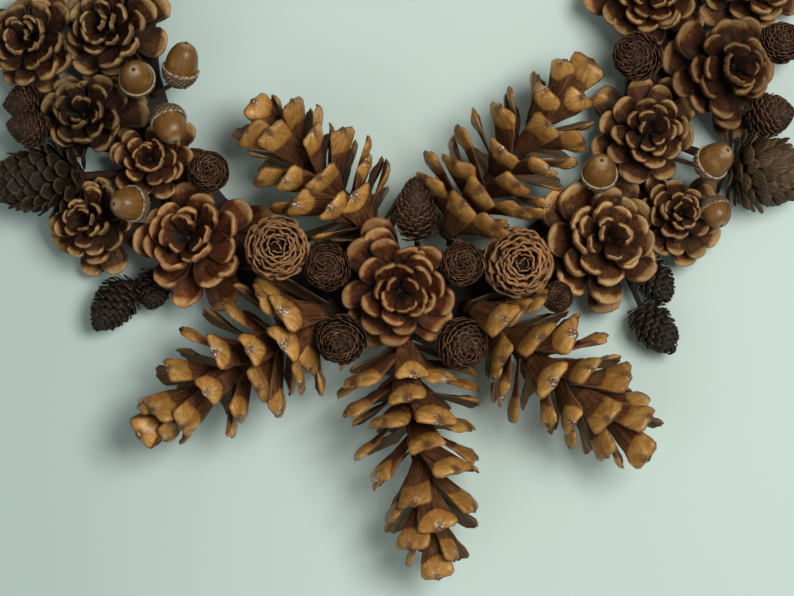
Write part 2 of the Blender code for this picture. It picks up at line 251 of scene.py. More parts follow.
def streaks_from(graph, along, across, centre, fineness):
    """Fine lines that run together towards a place on the scale's middle line."""
    away = centre - along
    angle = graph.math("ARCTAN2", across, away)
    distance = graph.math("SQRT", away * away + across * across)
    place = graph.vector(angle * fineness, distance * 2.0, graph.attribute("shade") * 37.0)
    return graph.noise(place, 1.0, 4.0, .6), distance


def paint_star_scale(graph):
    """Brown wood with a varnished ochre end, a dark knob at its tip and specks of resin."""
    mix, step = graph.mix, graph.step
    along, across, inner, edge, shade = blade_inputs(graph)
    cloud, fine = graph.grains(140, 900)
    line, from_tip = streaks_from(graph, along, across, 1.02, 9)
    border = .63 + across * across * (shade * 2.2 - .9) + (cloud - .5) * .22
    varnished = step(along - border, -.004, .014) * (1 - inner * .97)
    lengthwise = graph.noise(graph.vector(along * 2, across * 26, shade * 11), 1, 4)
    grain = step(lengthwise, .3, .66)
    wood = graph.layered(
        mix(grain, (.034, .012, .006), (.15, .056, .02)),
        (step(cloud, .5, .68) * .35, (.23, .12, .055)),
        (inner * .85, mix(grain, (.07, .044, .024), (.27, .172, .088))),
        (step(edge, .8, 1) * .5, (.21, .11, .055)))
    stain = step(line, .4, .2) * step(from_tip, .45, .15)
    knob = step(from_tip + (cloud - .5) * .2, .2, .05)
    seam = step(along - border + (line - .5) * .1, .09, 0)
    ochre = graph.layered(
        mix(step(cloud, .35, .65), (.42, .2, .045), (.64, .36, .1)),
        (step(line, .58, .36) * .55, (.25, .105, .026)),
        (stain, (.27, .115, .032)),
        (knob * .85, (.12, .045, .018)),
        (seam * .6, (.27, .088, .02)),
        (step(edge, .93, 1) * .4, (.26, .115, .035)))
    ochre = graph.times(ochre, mix(shade, (.58, .53, .47), (1.02, 1, .98)))
    resin = step(fine + cloud * .4 + shade * .12, .86, .92) * step(from_tip, .24, .1)
    colour = graph.layered(wood, (varnished, ochre), (resin * (1 - inner) * .9, (.75, .7, .6)))
    relief = line * .5 + lengthwise * .5 + fine * .2 + resin * .8
    return {"Base Color": colour, "Roughness": .65 - varnished * .28 + (fine - .5) * .2,
            "Specular IOR Level": .14, "Coat Weight": varnished * .26, "Coat Roughness": .22,
            "Normal": bumped(graph, relief, .0006, .8)}


def paint_open_scale(graph):
    """Dark at the root, partly own colour and partly painted shade, and redder towards a pale, worn crescent
    at the tip.
    """
    mix, step = graph.mix, graph.step
    along, across, inner, edge, shade = blade_inputs(graph)
    tone = graph.attribute("tone")
    cloud, fine = graph.grains(190, 1100)
    line, from_tip = streaks_from(graph, along, across, 1.25, 14)

    def streaked(red_dark, brown_dark, red_light, brown_light):
        return mix(line, mix(tone, red_dark, brown_dark), mix(tone, red_light, brown_light))

    rough_edge = edge + (cloud - .5) * .24 + (fine - .5) * .12 + (line - .5) * .1
    crescent = rough_edge * .86 + step(along, .66, .96) * .6 - across * across
    lengthwise = along + (cloud - .5) * .22
    flecks = step(fine + cloud * .5, .86, .98) * step(along, .45, .75)
    rim = mix(tone, (.51, .195, .054), (.49, .305, .112))
    pale = mix(tone, (.6, .35, .15), (.64, .46, .215))
    # The top face is near black at the root and lighter towards the tip: partly the wood's own colour, partly
    # painted shade under the scales that cover it
    top = graph.layered(
        mix(line, (.006, .003, .002), (.018, .008, .004)),
        (step(lengthwise, .26, .72),
         streaked((.055, .016, .006), (.026, .013, .006), (.175, .048, .013), (.088, .044, .017))),
        (step(lengthwise + rough_edge * .35, .82, 1.22),
         streaked((.19, .066, .02), (.11, .06, .024), (.36, .106, .028), (.215, .118, .042))),
        (step(crescent, .92, 1.04), rim),
        (step(crescent, 1.08, 1.2), pale),
        (step(rough_edge, .93, 1) * step(along, .4, .7) * .5, rim),
        (step(line, .5, .3) * .5, mix(tone, (.07, .022, .009), (.05, .027, .012))),
        (flecks * .45, pale))
    groove = step(rough_edge, .78, .84) * step(rough_edge, .94, .88)
    under = graph.layered(
        streaked((.24, .1, .04), (.25, .15, .065), (.52, .28, .115), (.58, .41, .2)),
        (groove, (.11, .048, .02)),
        (step(from_tip, .44, .34) * .6, (.16, .075, .035)))
    shield = step(along + across * across * -.3, .6, .66)
    # Painted shade: darker along the sides, away from the tip, where the neighbouring scales overlap
    flank = step(across * across, .03, .12) * step(along, .93, .78)
    colour = graph.layered(
        mix(shield, (.03, .014, .009), under),
        (inner, top),
        (flank * .8, mix(tone, (.06, .024, .011), (.034, .019, .011))))
    colour = graph.times(colour, mix(shade, (.55, .5, .46), (1.1, 1.04, .98)))
    relief = line * .7 + fine * .45 + cloud * .6
    return {"Base Color": graph.with_painted_deep_shade(colour), "Roughness": .55 + (fine - .5) * .25,
            "Specular IOR Level": .25, "Normal": bumped(graph, relief, .0008, .9)}


def paint_thin_scale(dark, mid, light, light_from, sharpness):
    """Paint for small cones: dark scales whose edges are worn lighter."""
    def paint(graph):
        mix, step = graph.mix, graph.step
        along, across, _, edge, shade = blade_inputs(graph)
        cloud, fine = graph.grains(260, 1500)
        line, _ = streaks_from(graph, along, across, 1.6, 20)
        worn = step(edge + (cloud - .5) * .5, light_from, light_from + sharpness) * step(along, .25, .6)
        grey = mix(step(line, .3, .7), (.03, .019, .01), (.16, .104, .05))
        colour = graph.layered(
            mix(fine, dark, mid),
            (worn, mix(cloud, mid, light)),
            (graph.attribute("tone") * step(along, .15, .5), grey))
        colour = graph.times(colour, mix(shade, (.6, .6, .6), (1.15, 1.1, 1.05)))
        return {"Base Color": graph.with_painted_deep_shade(colour), "Roughness": .62 + (fine - .5) * .3,
                "Specular IOR Level": .25, "Normal": bumped(graph, fine + cloud, .0004, .7)}
    return paint


def paint_cup(graph):
    """The paint of thin scales, with a pale lip where the cup ends."""
    paint = paint_thin_scale((.095, .062, .038), (.24, .16, .1), (.42, .3, .2), .4, .5)
    sockets = paint(graph)
    sockets["Base Color"] = graph.mix(graph.attribute("lip"), sockets["Base Color"], (.46, .36, .22))
    return sockets


def paint_nut(graph):
    """Brown shell with fine lines from end to end, a pale disc at the tip and a dark dot in it."""
    step = graph.step
    place = graph.outline_map()
    along, angle = graph.part(place, 0), graph.part(place, 1) * math.tau
    cloud, fine = graph.grains(130, 1300)
    frayed = graph.noise(graph.own_place(), 420)
    circle = graph.vector(graph.math("SINE", angle), graph.math("COSINE", angle), along * .25)
    grain = graph.noise(circle, 11, 4, .6)
    colour = graph.layered(
        graph.mix(step(grain, .35, .7), (.2, .092, .019), (.118, .048, .01)),
        (step(cloud, .52, .72) * .6, (.33, .18, .05)),
        (step(along, .34, .1) * .5, (.17, .065, .018)),
        (step(along + (frayed - .5) * .2, .61, .72) * .6, (.4, .3, .17)),
        (step(along, .77, .81), (.05, .024, .012)))
    roughness = .36 + (fine - .5) * .12 + step(along, .58, .66) * .3
    return {"Base Color": colour, "Roughness": roughness, "Specular IOR Level": .35,
            "Coat Weight": .1, "Coat Roughness": .15,
            "Normal": bumped(graph, grain + fine * .3, .00025, .5)}


def paint_bark(graph):
    cloud, fine = graph.grains(240.0, 1400.0, 5.0, .65)
    colour = graph.mix(cloud, (.008, .005, .003), (.05, .026, .014))
    return {"Base Color": colour, "Roughness": .8 + (fine - .5) * .2, "Specular IOR Level": .15,
            "Normal": bumped(graph, cloud + fine * .4, .0006, .8)}


def paint_board(graph):
    """Stained plywood, near black to stand in for the shade in the gaps: grain on its faces and its layers at
    the edges.
    """
    place = graph.own_place()
    grain = graph.noise(graph.scaled(place, (30.0, 420.0, 420.0)), 1.0, 5.0, .6, .6)
    fine = graph.noise(place, 900.0)
    layer = graph.math("PINGPONG", graph.part(place, 2) * 1000.0, 1.0)
    # Near-black stain, partly the board's own colour and partly painted shade for the gaps between the cones
    colour = graph.mix(grain, (.008, .006, .005), (.034, .024, .017))
    colour = graph.mix(graph.step(layer, .35, .65) * .25, colour, (.012, .008, .006))
    return {"Base Color": colour, "Roughness": .72 + (fine - .5) * .2,
            "Normal": bumped(graph, grain + fine * .3, .0004, .6)}


def paint_floor(graph):
    """Pale green, and painted shade makes it a little darker and greyer towards the left."""
    cloud, grit = graph.grains(1.6, 500.0, 2.0)
    colour = graph.mix(cloud, (.55, .68, .628), (.59, .718, .66))
    across = graph.part(graph.own_place(), 0)
    # Painted shade: the floor turns darker and greyer towards the left
    colour = graph.mix(graph.step(across, -.02, -.2) * .45, colour, (.35, .47, .45))
    return {"Base Color": colour, "Roughness": .7 + (grit - .5) * .1,
            "Normal": bumped(graph, grit, .0001, .15)}


MATERIALS = {
    "star_scale": new_material("varnished_star_scale", paint_star_scale),
    "cone_scale": new_material("woody_cone_scale", paint_open_scale),
    "dark_scale": new_material("dark_cone_scale", paint_thin_scale(
        (.006, .003, .002), (.055, .023, .011), (.35, .175, .08), .74, .2)),
    "rose_scale": new_material("pale_rose_scale", paint_thin_scale(
        (.012, .005, .003), (.13, .046, .015), (.55, .305, .13), .64, .26)),
    "ragged_scale": new_material("ragged_cone_scale", paint_thin_scale(
        (.006, .004, .002), (.04, .023, .011), (.17, .1, .048), .58, .3)),
    "seed_cone": new_material("black_seed_cone", paint_thin_scale(
        (.008, .005, .004), (.028, .018, .012), (.085, .055, .036), .55, .4)),
    "acorn_cup": new_material("grey_acorn_cup", paint_cup),
    "acorn_nut": new_material("glossy_acorn_nut", paint_nut),
    "twig": new_material("dark_bark", paint_bark),
    "ring_board": new_material("stained_board", paint_board),
    "floor": new_material("pale_floor", paint_floor),
}


# Shapes of single scales

Blade = namedtuple("Blade", "half spine levels top bottom hook cup ruffle lean")

# Half outlines run from the root to the tip as (share of the reach, share of the width). The levels go
# from the edge (0) to the middle line (1), and top and bottom say how high each one lies, in shares of
# the reach. Hook, cup, ruffle and lean bend the scale along, across, unevenly and sideways.
OPEN_BLADE = Blade(
    half=((0, .13), (.16, .2), (.34, .31), (.5, .41), (.65, .48), (.78, .49), (.88, .42), (.95, .31),
          (.99, .17), (1, 0)),
    spine=(0, .12, .24, .34, .41, .45, .48, .5, .52, .53),
    levels=(.035, .1, .17, .26, .5, 1.0), top=(.03, .042, .026, -.004, -.026, -.036),
    bottom=(-.07, -.12, -.145, -.14, -.105, -.085), hook=.12, cup=.03, ruffle=.1, lean=.16)
STAR_BLADE = Blade(
    half=((0, .16), (.2, .24), (.42, .33), (.62, .41), (.8, .48), (.91, .5), (.965, .4), (.975, .16),
          (1.01, 0)),
    spine=(0, .18, .38, .54, .64, .71, .76, .79, .84),
    levels=(.08, .22, .55, 1.0), top=(.004, -.006, -.014, -.016), bottom=(-.038, -.06, -.078, -.088),
    hook=.03, cup=.02, ruffle=.035, lean=.1)
THIN_BLADE = Blade(
    half=((0, .3), (.4, .44), (.72, .5), (.93, .3), (1, 0)), spine=(0, .3, .5, .62, .68),
    levels=(.35, 1.0), top=(-.01, -.04), bottom=(-.09, -.12), hook=.1, cup=.0, ruffle=.05, lean=.08)
LONG_BLADE = Blade(
    half=((0, .26), (.3, .42), (.58, .48), (.8, .38), (.92, .18), (1, 0)),
    spine=(0, .26, .46, .58, .64, .68), levels=(.12, .4, 1.0), top=(.02, -.01, -.04),
    bottom=(-.05, -.07, -.09), hook=.1, cup=.05, ruffle=.12, lean=.18)
ROSE_BLADE = Blade(
    half=((0, .3), (.24, .36), (.46, .44), (.66, .49), (.82, .5), (.93, .43), (.98, .3), (.985, .14),
          (.97, 0)),
    spine=(0, .22, .36, .46, .53, .58, .62, .65, .66),
    levels=(.1, .35, 1.0), top=(.05, -.01, -.05), bottom=(-.08, -.11, -.12), hook=-.16, cup=.16, ruffle=.24,
    lean=.06)
LOBED_BLADE = Blade(
    half=((0, .22), (.35, .3), (.68, .5), (.9, .46), (.98, .22), (.9, 0)),
    spine=(0, .3, .5, .62, .68, .7), levels=(.35, 1.0), top=(.02, -.02), bottom=(-.16, -.2),
    hook=.12, cup=.0, ruffle=.06, lean=.1)
# How many scales of each kind differ
VARIANTS = 5
# The upper face of a scale lies this far along the second direction of its map
UPPER_FACE = 2


# Opened cones: count of scales, the first and last one's place along the axis, how they crowd towards
# the base, and from the first scale to the last their reach and width in shares of the radius and their
# lift in degrees, which is 0 straight out from the axis and 90 along it; then how uneven they are, and
# the core as (share of the radius, share of the length)
Growth = namedtuple("Growth", "count first last crowding reach lift lift_curve width width_curve unrest core")
OPEN_GROWTH = Growth(
    count=34, first=0, last=.55, crowding=1, reach=(1.28, .48), lift=(-8, 54), lift_curve=1.2,
    width=(.64, .25), width_curve=1.3, unrest=13,
    core=((0, 0), (.18, 0), (.28, .1), (.27, .25), (.17, .4), (.09, .5), (.03, .55), (0, .55)))
STAR_GROWTH = Growth(
    count=44, first=0, last=.76, crowding=1.2, reach=(1, .82), lift=(18, 68), lift_curve=2.4,
    width=(.56, .42), width_curve=1.2, unrest=9,
    core=((0, 0), (.1, 0), (.14, .15), (.12, .45), (.09, .75), (.04, .93), (0, .95)))
MOST_OPEN_LIFT = 88

# Closed cones: count of scales, how far they stand open, reach and width in shares of the radius, where
# their roots and the body under them lie, and the size of the last scale as a share of the first. Their
# lift stays between the least and the most
Closed = namedtuple("Closed", "count opening reach width sink body apex")
LEAST_LIFT, MOST_LIFT = -10, 112

# Each kind of piece: its scale, its finish, how far scales roll to either side in radians, the radius of
# its stalk in millimetres, its rule, and how its scales are stretched along, across and through
Kind = namedtuple("Kind", "blade slot roll stalk rule shares", defaults=[None, (1.0, 1.0, 1.0)])
KINDS = {
    "open": Kind(OPEN_BLADE, "cone_scale", .16, 2.6, OPEN_GROWTH),
    "star": Kind(STAR_BLADE, "star_scale", .22, 2.6, STAR_GROWTH),
    "rose": Kind(ROSE_BLADE, "rose_scale", .1, 1.6, Closed(60, 50, .58, .8, .46, .42, .36)),
    "dark": Kind(THIN_BLADE, "dark_scale", .1, 1.5, Closed(170, 24, .4, .42, .8, .8, .62)),
    "long": Kind(LONG_BLADE, "ragged_scale", .1, 2.2, Closed(120, 30, .72, .56, .7, .72, .62),
                 (1.0, 1.0, .7)),
    "seeds": Kind(LOBED_BLADE, "seed_cone", .1, 1.6, Closed(100, 36, .44, .52, .73, .73, .66)),
    "acorn": Kind(THIN_BLADE, "acorn_cup", .1, 1.2, shares=(1.0, 1.0, 1.4)),
}
OPENED = ("open", "star")


def blade_mesh(name, blade, number):
    """One woody scale along +X as a closed mesh, a little different for each number.

    Rings of points run from the edge to the middle line, once over the top and once underneath.
    """
    chance = random.Random(31 * number + len(blade.half))
    count = len(blade.half)
    lean = chance.uniform(-1, 1) * blade.lean
    twist = chance.uniform(-1, 1) * blade.lean * 1.5
    hook = blade.hook * chance.uniform(.6, 1.5)
    drift = Vector([chance.uniform(0, 90) for _ in range(3)])
    loop = list(range(count)) + list(range(count - 2, -1, -1))
    points = []

    def ring(level, height):
        indices = []
        for step, k in enumerate(loop if level < 1 else range(count)):
            edge_x, edge_y = blade.half[k]
            side = -1 if step < count else 1
            x = blend(edge_x, blade.spine[k], level)
            y = side * edge_y * (1 - level)
            wide = 1 + .2 * noise.noise(drift + Vector((x * 2.4, side * (edge_y + .3), 0)))
            wide += .07 * noise.noise(drift + Vector((x * 9, side * edge_y * 9, 5.0)))
            thick = blend(.32, 1.0, smooth(.45, .88, x))
            z = height * thick + hook * x * x + twist * x * y + blade.cup * (2 * y) ** 2 * smooth(.1, .6, x)
            z += blade.ruffle * noise.noise(drift + Vector((x * 4, y * 7, 3.0))) * smooth(.1, .5, x)
            indices.append(len(points))
            points.append((Vector((x, y * wide + lean * x * x, z)), 1 - level, x, y))
        return indices

    edge = ring(0.0, 0.0)
    mesh = bmesh.new()
    uv = mesh.loops.layers.uv.new("UVMap")
    near = mesh.verts.layers.float.new("edge")
    upper, lower = ([edge] + [ring(level, height) for level, height in zip(blade.levels, heights)]
                    for heights in (blade.top, blade.bottom))
    verts = []
    for place, level, x, y in points:
        vert = mesh.verts.new(place)
        vert[near] = level
        verts.append(vert)

    def face(indices, offset):
        kept = list(dict.fromkeys(indices))
        if len(kept) < 3:
            return
        made = mesh.faces.new([verts[i] for i in kept])
        made.smooth = True
        for corner, i in zip(made.loops, kept):
            corner[uv].uv = (points[i][2], points[i][3] + .5 + offset)

    for offset, rings in ((UPPER_FACE, upper), (0, lower)):
        for outer, inner in zip(rings, rings[1:]):
            for step in range(len(loop) - 1):
                if len(inner) == count:
                    a, b = inner[loop[step]], inner[loop[step + 1]]
                else:
                    a, b = inner[step], inner[step + 1]
                quad = (outer[step], outer[step + 1], b, a)
                face(quad if offset else quad[::-1], offset)
    cap = [r[0] for r in upper] + [r[-1] for r in upper[-2::-1]] + [r[-1] for r in lower[1:-1]]
    cap += [r[0] for r in lower[:0:-1]]
    face(cap[::-1], 0)
    bmesh.ops.recalc_face_normals(mesh, faces=mesh.faces)
    data = bpy.data.meshes.new(name)
    mesh.to_mesh(data)
    mesh.free()
    return data


def blade_collection(name, blade):
    """The different scales of one kind, from which the tree picks."""
    collection = bpy.data.collections.new(name)
    for number in range(VARIANTS):
        title = f"{name}_{number}"
        collection.objects.link(bpy.data.objects.new(title, blade_mesh(title, blade, number)))
    return collection


SCALES = {name: blade_collection("blade_" + name, kind.blade) for name, kind in KINDS.items()}


# The tree that sets scales on their places

def scatter_tree():
    """Puts a scale on each point, turned and sized by the point's attributes, round a body."""
    tree = bpy.data.node_groups.new("set_scales", "GeometryNodeTree")
    graph = Graph(tree)
    for title, kind in (("Places", "Geometry"), ("Body", "Object"), ("Scales", "Collection"),
                        ("Scale material", "Material"), ("Length share", "Float"), ("Width share", "Float"),
                        ("Thickness share", "Float"), ("Roll", "Float"), ("Tone", "Float"),
                        ("Darkness", "Float"), ("Seed", "Int")):
        tree.interface.new_socket(title, in_out="INPUT", socket_type="NodeSocket" + kind)
    tree.interface.new_socket("Cone", in_out="OUTPUT", socket_type="NodeSocketGeometry")

    def wire(title):
        return graph.node("NodeGroupInput", out=title)

    def stored(name, kind):
        return graph.node("GeometryNodeInputNamedAttribute", {"data_type": kind}, {"Name": name})

    def random_value(low, high, offset):
        sockets = {2: low, 3: high, "Seed": wire("Seed") + offset}
        return graph.node("FunctionNodeRandomValue", {"data_type": "FLOAT"}, sockets, 1)

    scales = graph.node("GeometryNodeCollectionInfo", {}, {
        "Collection": wire("Scales"), "Separate Children": True, "Reset Children": True})
    pick = graph.node("FunctionNodeRandomValue", {"data_type": "INT"},
                      {4: 0, 5: VARIANTS - 1, "Seed": wire("Seed")}, 2)
    roll = random_value(wire("Roll") * -1, wire("Roll"), 1)
    aim = graph.node("FunctionNodeEulerToRotation", {}, {0: stored("aim", "FLOAT_VECTOR")})
    own = graph.node("FunctionNodeEulerToRotation", {}, {0: graph.vector(roll)})
    turned = graph.node("FunctionNodeRotateRotation", {"rotation_space": "LOCAL"}, {0: aim, 1: own})
    shares = graph.vector(wire("Length share"), wire("Width share"), wire("Thickness share"))
    size = graph.scaled(stored("size", "FLOAT_VECTOR"), shares)
    placed = graph.node("GeometryNodeInstanceOnPoints", {}, {
        "Points": wire("Places"), "Instance": scales, "Pick Instance": True, "Instance Index": pick,
        "Rotation": turned, "Scale": size})
    # The dark attribute carries the painted shade of pieces that lie deep in the wreath
    for name, value in (("shade", random_value(.1, 1, 2)), ("tone", wire("Tone")),
                        ("dark", wire("Darkness"))):
        placed = graph.node("GeometryNodeStoreNamedAttribute", {"domain": "INSTANCE"},
                            {"Geometry": placed, "Name": name, "Value": value})
    body = graph.node("GeometryNodeObjectInfo", {}, {"Object": wire("Body")}, "Geometry")
    joined = graph.node("GeometryNodeJoinGeometry", {}, {0: [body, placed]})
    real = graph.node("GeometryNodeRealizeInstances", {}, {0: joined})
    is_scale = stored("shade", "FLOAT") > .05
    dressed = graph.node("GeometryNodeSetMaterial", {}, {
        "Geometry": real, "Selection": is_scale, "Material": wire("Scale material")})
    graph.node("NodeGroupOutput", {}, {0: dressed})
    return tree


SCATTER = scatter_tree()
SOCKETS = {item.name: item.identifier for item in SCATTER.interface.items_tree if item.in_out == "INPUT"}


def scattered(name, piece, places, body, seed):
    """A cone as one plain mesh: scales on their places, joined with the body that carries them."""
    kind = KINDS[piece.kind]
    long, wide, thick = kind.shares
    mesh = bpy.data.meshes.new(name + "_places")
    mesh.from_pydata([matrix.translation for matrix, _, _ in places], [], [])
    aim = mesh.attributes.new("aim", "FLOAT_VECTOR", "POINT")
    size = mesh.attributes.new("size", "FLOAT_VECTOR", "POINT")
    for number, (matrix, reach, width) in enumerate(places):
        aim.data[number].vector = matrix.to_euler("XYZ")
        size.data[number].vector = (reach, width, reach)
    source = placed_object(name + "_source", mesh)
    modifier = source.modifiers.new("Scales", "NODES")
    modifier.node_group = SCATTER
    for title, value in (("Body", body), ("Scales", SCALES[piece.kind]),
                         ("Scale material", MATERIALS[kind.slot]), ("Length share", long),
                         ("Width share", wide), ("Thickness share", thick), ("Roll", kind.roll),
                         # piece.dark is the painted shade of a piece that lies deep in the wreath
                         ("Tone", piece.tone), ("Darkness", piece.dark), ("Seed", seed)):
        modifier[SOCKETS[title]] = value
    evaluated = source.evaluated_get(bpy.context.evaluated_depsgraph_get())
    made = placed_object(name, bpy.data.meshes.new_from_object(evaluated))
    made.data.name = name
    bpy.data.objects.remove(source)
    bpy.data.objects.remove(body)
    return made


# Bodies, stalks and the places of scales

def mesh_object(name, points, faces, material, uvs=None, link=True):
    mesh = bpy.data.meshes.new(name)
    mesh.from_pydata(points, [], faces)
    mesh.materials.append(material)
    mesh.shade_smooth()
    if uvs:
        layer = mesh.uv_layers.new(name="UVMap")
        for polygon in mesh.polygons:
            for corner, loop in enumerate(polygon.loop_indices):
                layer.data[loop].uv = uvs[polygon.index][corner]
    return placed_object(name, mesh) if link else bpy.data.objects.new(name, mesh)


def lathe(axes, profile, sides, wobble=0.0):
    """Closed round skin from (radius, height) pairs that start and end on the axis, set on its axes."""
    points = [raised(profile[0][1])]
    for radius, height in profile[1:-1]:
        for step in range(sides):
            angle = math.tau * step / sides
            across = Vector((math.cos(angle), math.sin(angle), 0))
            swell = 1 + wobble * noise.noise(across * 1.5 + raised(height * 90))
            points.append(across * radius * swell + raised(height))
    points.append(raised(profile[-1][1]))
    faces, uvs = [], []
    last = len(profile) - 1

    def corner(row, step):
        index = 1 + (row - 1) * sides + step % sides
        index = 0 if row == 0 else len(points) - 1 if row == last else index
        return index, (row / last, step / sides)

    for step in range(sides):
        for row in range(last):
            corners = dict(corner(row + up, step + on) for up, on in ((0, 0), (0, 1), (1, 1), (1, 0)))
            faces.append(tuple(corners))
            uvs.append(tuple(corners.values()))
    return [axes @ p for p in points], faces, uvs


def tube(path, radii, sides=10):
    """Closed round bar along a path with rounded bends."""
    runs = [(end - start).normalized() for start, end in zip(path, path[1:])]
    points, faces = [], []
    across = None
    for number, (here, before, after) in enumerate(zip(path, runs[:1] + runs, runs + runs[-1:])):
        along = (before + after).normalized()
        across = along.orthogonal() if across is None else across - along * across.dot(along)
        across.normalize()
        up = along.cross(across)
        for step in range(sides):
            angle = math.tau * step / sides
            bump = 1 + .16 * noise.noise(here * 420 + Vector((math.cos(angle), math.sin(angle), 0)))
            points.append(here + radii[number] * bump * (across * math.cos(angle) + up * math.sin(angle)))
    for low in range(0, (len(path) - 1) * sides, sides):
        for step in range(sides):
            after = (step + 1) % sides
            faces.append((low + step, low + after, low + sides + after, low + sides + step))
    faces.append(tuple(range(sides))[::-1])
    faces.append(tuple(range((len(path) - 1) * sides, len(path) * sides)))
    return points, faces


def curved(corners, count=14):
    """A smooth path through a few corners."""
    padded = [corners[0] * 2 - corners[1]] + corners + [corners[-1] * 2 - corners[-2]]
    path = []
    for a, b, c, d in zip(padded, padded[1:], padded[2:], padded[3:]):
        steps = max(2, count // (len(corners) - 1))
        for step in range(steps):
            t = step / steps
            path.append(.5 * ((2 * b) + (c - a) * t + (2 * a - 5 * b + 4 * c - d) * t ** 2
                               + (3 * b - a - 3 * c + d) * t ** 3))
    return path + [corners[-1]]


def combined(shapes):
    points, faces = [], []
    for more_points, more_faces in shapes:
        faces += [tuple(i + len(points) for i in face) for face in more_faces]
        points += more_points
    return points, faces


def axis_of(piece):
    """Base, tip and radius of a piece in metres."""
    return point(piece.base), point(piece.tip), piece.radius * MM


def axis_frame(base, tip):
    """Frame whose +Z runs from the base to the tip."""
    along = tip - base
    return Matrix.Translation(base) @ along.to_track_quat("Z", "X").to_matrix().to_4x4(), along.length


def foot_of(piece):
    """Where a piece's stalk stands on the ring: nearest to its base, or in a place of its own."""
    if piece.name in FEET:
        return point(FEET[piece.name])
    base = point(piece.base)
    flat = Vector((base.x - RING_CENTRE.x, base.y - RING_CENTRE.y, 0))
    radius = min(max(flat.length, RING_INNER_RADIUS + FOOT_EDGE), RING_OUTER_RADIUS - FOOT_EDGE)
    return RING_CENTRE + flat.normalized() * radius + raised(RING_THICKNESS)


def stalk(start, foot, radius):
    """From inside a piece down to the ring."""
    above = foot + raised(STALK_RISE)
    path = [start, above, foot]
    if (start - above).length > SHORT_STALK:
        path = curved([start, (start + above) / 2 + raised(.001), above, foot])
    return tube(path, [radius] * len(path))


# An opened cone's scale that would meet another piece is tried bent, turned and shorter, until it fits:
# share of its length, extra lift and turn. The test takes plain plates and smooth bodies for the scales,
# so finished ones, which are curved and uneven, still cross a neighbour's in places
FITS = ((1.0, 0, 0), (1.0, 7, 0), (1.0, 0, 10), (1.0, 0, -10), (.92, 4, 0), (.92, 8, 16), (.92, 8, -16),
        (.84, 0, 0), (.84, 16, 0), (.76, 8, 14), (.76, 8, -14), (.7, 22, 0), (.64, 8, 0), (.55, 26, 0),
        (.5, 8, 0), (.42, 34, 0))


def open_places(piece, chance):
    """Height, turn, lift, reach and width of each scale of an opened cone, from the base to the apex."""
    growth = KINDS[piece.kind].rule
    base, tip, radius = axis_of(piece)
    axes, length = axis_frame(base, tip)
    up = axes.inverted().to_3x3() @ raised(1)
    first_turn = piece.turn
    if piece.kind == "star":
        first_turn += math.atan2(up.y, up.x) - (growth.count - 1) * GOLDEN_ANGLE
    for number in range(growth.count):
        share = number / (growth.count - 1)
        lift = blend(*growth.lift, share ** growth.lift_curve) + chance.uniform(-1, 1) * growth.unrest
        reach = blend(*growth.reach, share) * radius * chance.uniform(.92, 1.05)
        width = blend(*growth.width, share ** growth.width_curve) * radius * chance.uniform(.9, 1.1)
        height = blend(growth.first, growth.last, share ** growth.crowding) * length
        turn = first_turn + number * GOLDEN_ANGLE + chance.uniform(-.015, .015) * growth.unrest
        yield axes, height, turn, lift, reach, width


def girth(share):
    """Radius of a closed, egg-shaped cone at a share of its length."""
    return math.sin(math.pi * share ** .8) ** .55


def closed_places(base, tip, radius, count, rule, first_turn, chance):
    """Scales that lie against each other all over an egg-shaped cone."""
    axes, length = axis_frame(base, tip)
    steps = 200
    areas = [0.0]
    for step in range(steps):
        areas.append(areas[-1] + girth((step + .5) / steps) ** .8)
    places = []
    row = 0
    for number in range(count):
        wanted = (number + .7) / (count + .5) * areas[-1]
        while areas[row + 1] < wanted:
            row += 1
        share = (row + (wanted - areas[row]) / (areas[row + 1] - areas[row])) / steps
        share = min(max(share, .015), .985)
        slope = (girth(min(share + .01, .999)) - girth(share - .01)) / .02 * radius / length
        lift = 90 - (math.degrees(math.atan(slope)) + rule.opening)
        lift = min(max(lift, LEAST_LIFT), MOST_LIFT) + chance.uniform(-5, 5)
        small = blend(1.0, rule.apex, smooth(.66, .98, share)) * chance.uniform(.9, 1.1)
        turn = first_turn + number * GOLDEN_ANGLE + chance.uniform(-.06, .06)
        root = Vector((rule.sink * girth(share) * radius, 0, share * length))
        local = Matrix.Rotation(turn, 4, "Z") @ Matrix.Translation(root)
        local @= Matrix.Rotation(-math.radians(lift), 4, "Y")
        places.append((axes @ local, rule.reach * radius * small, rule.width * radius * small))
    return places


def egg(base, tip, radius, share, sides=20):
    """The dark body under a closed cone's scales."""
    axes, length = axis_frame(base, tip)
    profile = [(0, 0.0)] + [(girth(s / 12) * radius * share, s / 12 * length * .97) for s in range(1, 12)]
    profile.append((0, .97 * length))
    return lathe(axes, profile, sides)[:2]


def proxy(blade, reach, width):
    """A plain plate with a scale's outline, for testing whether it has room."""
    outline = [(x, -y) for x, y in blade.half[::2]] + [(x, y) for x, y in blade.half[-3::-2]]
    lower = [Vector((x * reach, y * width, (blade.hook * x * x - .09) * reach)) for x, y in outline]
    upper = [p + raised(.1 * reach) for p in lower]
    count = len(outline)
    faces = [tuple(range(count))[::-1], tuple(range(count, 2 * count))]
    faces += [(k, (k + 1) % count, (k + 1) % count + count, k + count) for k in range(count)]
    return lower + upper, faces


def box_of(points):
    """The lowest and the highest corner round some points."""
    return [Vector([pick(p[axis] for p in points) for axis in range(3)]) for pick in (min, max)]


class Kept:
    """The room that one piece takes."""

    def __init__(self, shapes):
        self.trees = []
        self.box = []
        for shape in shapes:
            self.add(shape)

    def add(self, shape):
        points, faces = shape
        self.trees.append(BVHTree.FromPolygons(points, faces))
        self.box = box_of(self.box + points)

    def meets(self, tree, low, high):
        if any(low[axis] > self.box[1][axis] or high[axis] < self.box[0][axis] for axis in range(3)):
            return False
        return any(tree.overlap(other) for other in self.trees)


